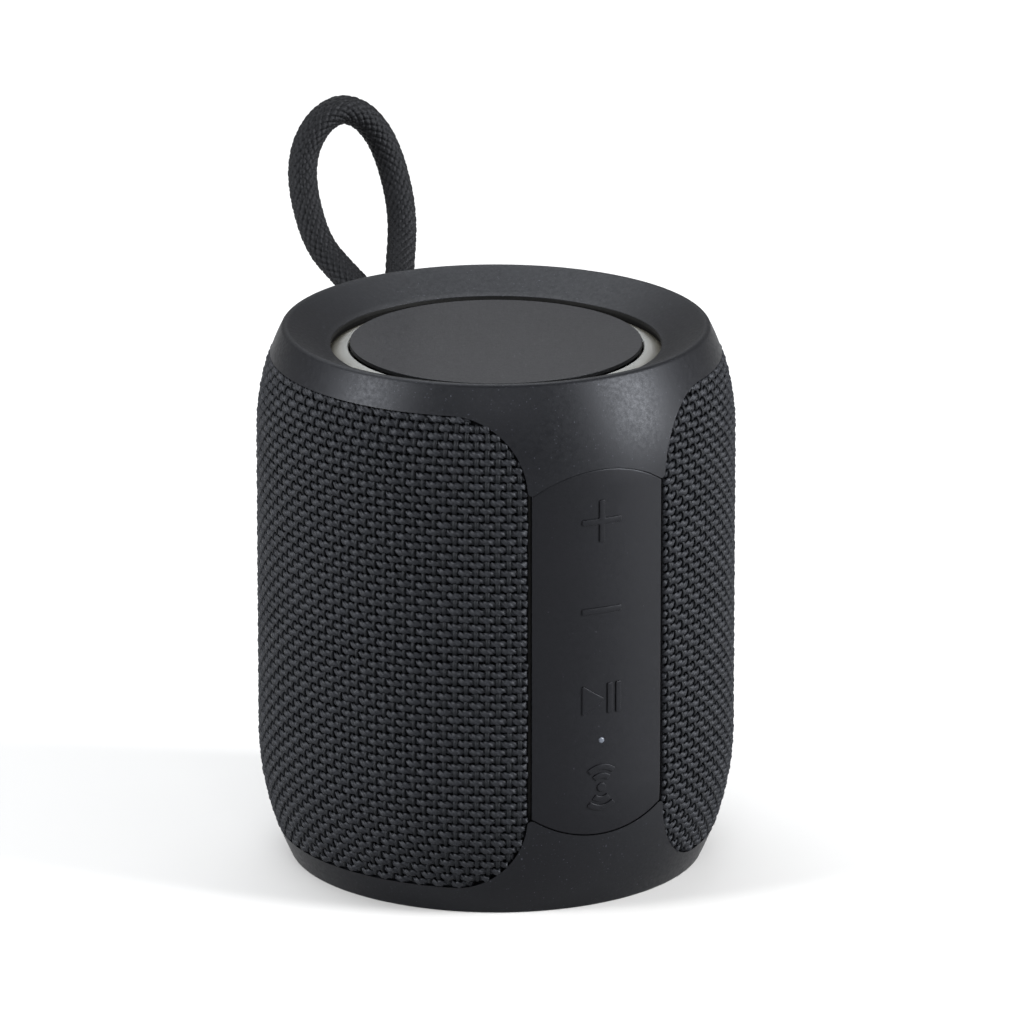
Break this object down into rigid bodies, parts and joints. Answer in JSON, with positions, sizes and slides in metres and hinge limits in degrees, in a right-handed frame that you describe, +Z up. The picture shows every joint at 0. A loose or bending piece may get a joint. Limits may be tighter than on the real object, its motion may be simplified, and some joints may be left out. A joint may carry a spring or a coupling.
{
  "type": "shower speaker",
  "caption": "Barrel-shaped rubber-coated speaker with cloth sides, a soft key strip, a floating radiator disc in a light ring and a braided hanging loop.",
  "frame": {"origin": "centre of the base, on the surface it stands on", "axes": "+Z up along the barrel, the key strip faces -Y, the hanging loop and the charging port are at +Y"},
  "size_m": [0.09, 0.1159, 0.1309],
  "materials": {
    "soft_skin": "soft matte rubber coating, charcoal",
    "key_rubber": "soft matte rubber, charcoal",
    "disc_paint": "fine-textured matte",
    "core_plastic": "moulded black plastic",
    "cloth": "coarse plain weave, black",
    "braid": "braided cord, black",
    "seal_rubber": "black rubber",
    "milky_plastic": "milky translucent",
    "circuit_board": "green solder mask",
    "cone_paper": "coated paper cone",
    "battery_sleeve": "shrink sleeve",
    "cable_film": "flat flexible cable",
    "steel": "plated steel"
  },
  "bodies": {
    "root": {"frame_skin": "soft_skin", "frame_core": "core_plastic", "base_cap": "soft_skin", "foot_ring": "seal_rubber", "base_screws": "steel", "left_fabric": "cloth", "right_fabric": "cloth", "left_grille": "core_plastic", "right_grille": "core_plastic", "button_pad": "key_rubber", "tact_switches": "core_plastic", "key_board": "circuit_board", "status_led": "milky_plastic", "status_light_pipe": "milky_plastic", "light_diffuser": "milky_plastic", "led_board": "circuit_board", "ring_leds": "milky_plastic", "radiator_surround": "seal_rubber", "radiator_ring": "core_plastic", "radiator_gasket": "seal_rubber", "enclosure_body": "core_plastic", "enclosure_lid": "core_plastic", "enclosure_gasket": "seal_rubber", "enclosure_screws": "steel", "left_basket": "core_plastic", "right_basket": "core_plastic", "left_magnet": "steel", "right_magnet": "steel", "left_surround": "seal_rubber", "right_surround": "seal_rubber", "left_driver_gasket": "seal_rubber", "right_driver_gasket": "seal_rubber", "left_driver_screws": "steel", "right_driver_screws": "steel", "battery_cell": "battery_sleeve", "battery_cradle": "core_plastic", "main_board": "circuit_board", "board_chips": "core_plastic", "board_screws": "steel", "usb_socket": "steel", "socket_seal": "seal_rubber", "loop_pin": "steel", "ribbon_cable": "cable_film"},
    "volume_up_key": {"key_volume_up": "key_rubber", "stem_volume_up": "steel"},
    "volume_down_key": {"key_volume_down": "key_rubber", "stem_volume_down": "steel"},
    "play_key": {"key_play": "key_rubber", "stem_play": "steel"},
    "pairing_key": {"key_pairing": "key_rubber", "stem_pairing": "steel"},
    "radiator": {"radiator_disc": "disc_paint", "radiator_weight": "steel"},
    "left_driver_cone": {"left_cone": "cone_paper", "left_dust_cap": "cone_paper"},
    "right_driver_cone": {"right_cone": "cone_paper", "right_dust_cap": "cone_paper"},
    "hanging_loop": {"loop_end_block": "core_plastic", "hanging_loop": "braid"},
    "port_flap": {"port_flap": "soft_skin"}
  },
  "joints": [
    {"name": "volume_up_press", "type": "slide", "parent": "root", "child": "volume_up_key", "axis": [0, 1, 0], "range_m": [0, 0.00045], "stiffness_N_per_m": 1500, "springref_m": -0.0004},
    {"name": "volume_down_press", "type": "slide", "parent": "root", "child": "volume_down_key", "axis": [0, 1, 0], "range_m": [0, 0.00045], "stiffness_N_per_m": 1500, "springref_m": -0.0004},
    {"name": "play_press", "type": "slide", "parent": "root", "child": "play_key", "axis": [0, 1, 0], "range_m": [0, 0.00045], "stiffness_N_per_m": 1500, "springref_m": -0.0004},
    {"name": "pairing_press", "type": "slide", "parent": "root", "child": "pairing_key", "axis": [0, 1, 0], "range_m": [0, 0.00045], "stiffness_N_per_m": 1500, "springref_m": -0.0004},
    {"name": "radiator_travel", "type": "slide", "parent": "root", "child": "radiator", "axis": [0, 0, 1], "range_m": [-0.0015, 0.0015], "stiffness_N_per_m": 600, "deforming": ["radiator_surround"]},
    {"name": "left_cone_travel", "type": "slide", "parent": "root", "child": "left_driver_cone", "axis": [-1, 0, 0], "range_m": [-0.001, 0.001], "stiffness_N_per_m": 800, "deforming": ["left_surround"]},
    {"name": "right_cone_travel", "type": "slide", "parent": "root", "child": "right_driver_cone", "axis": [1, 0, 0], "range_m": [-0.001, 0.001], "stiffness_N_per_m": 800, "deforming": ["right_surround"]},
    {"name": "loop_swing", "type": "hinge", "parent": "root", "child": "hanging_loop", "pos_m": [0, 0.0406, 0.0874], "axis": [1, 0, 0], "range_deg": [-75, 8]},
    {"name": "flap_open", "type": "hinge", "parent": "root", "child": "port_flap", "pos_m": [0, 0.0437, 0.025], "axis": [-1, 0, 0], "range_deg": [0, 90]}
  ]
}
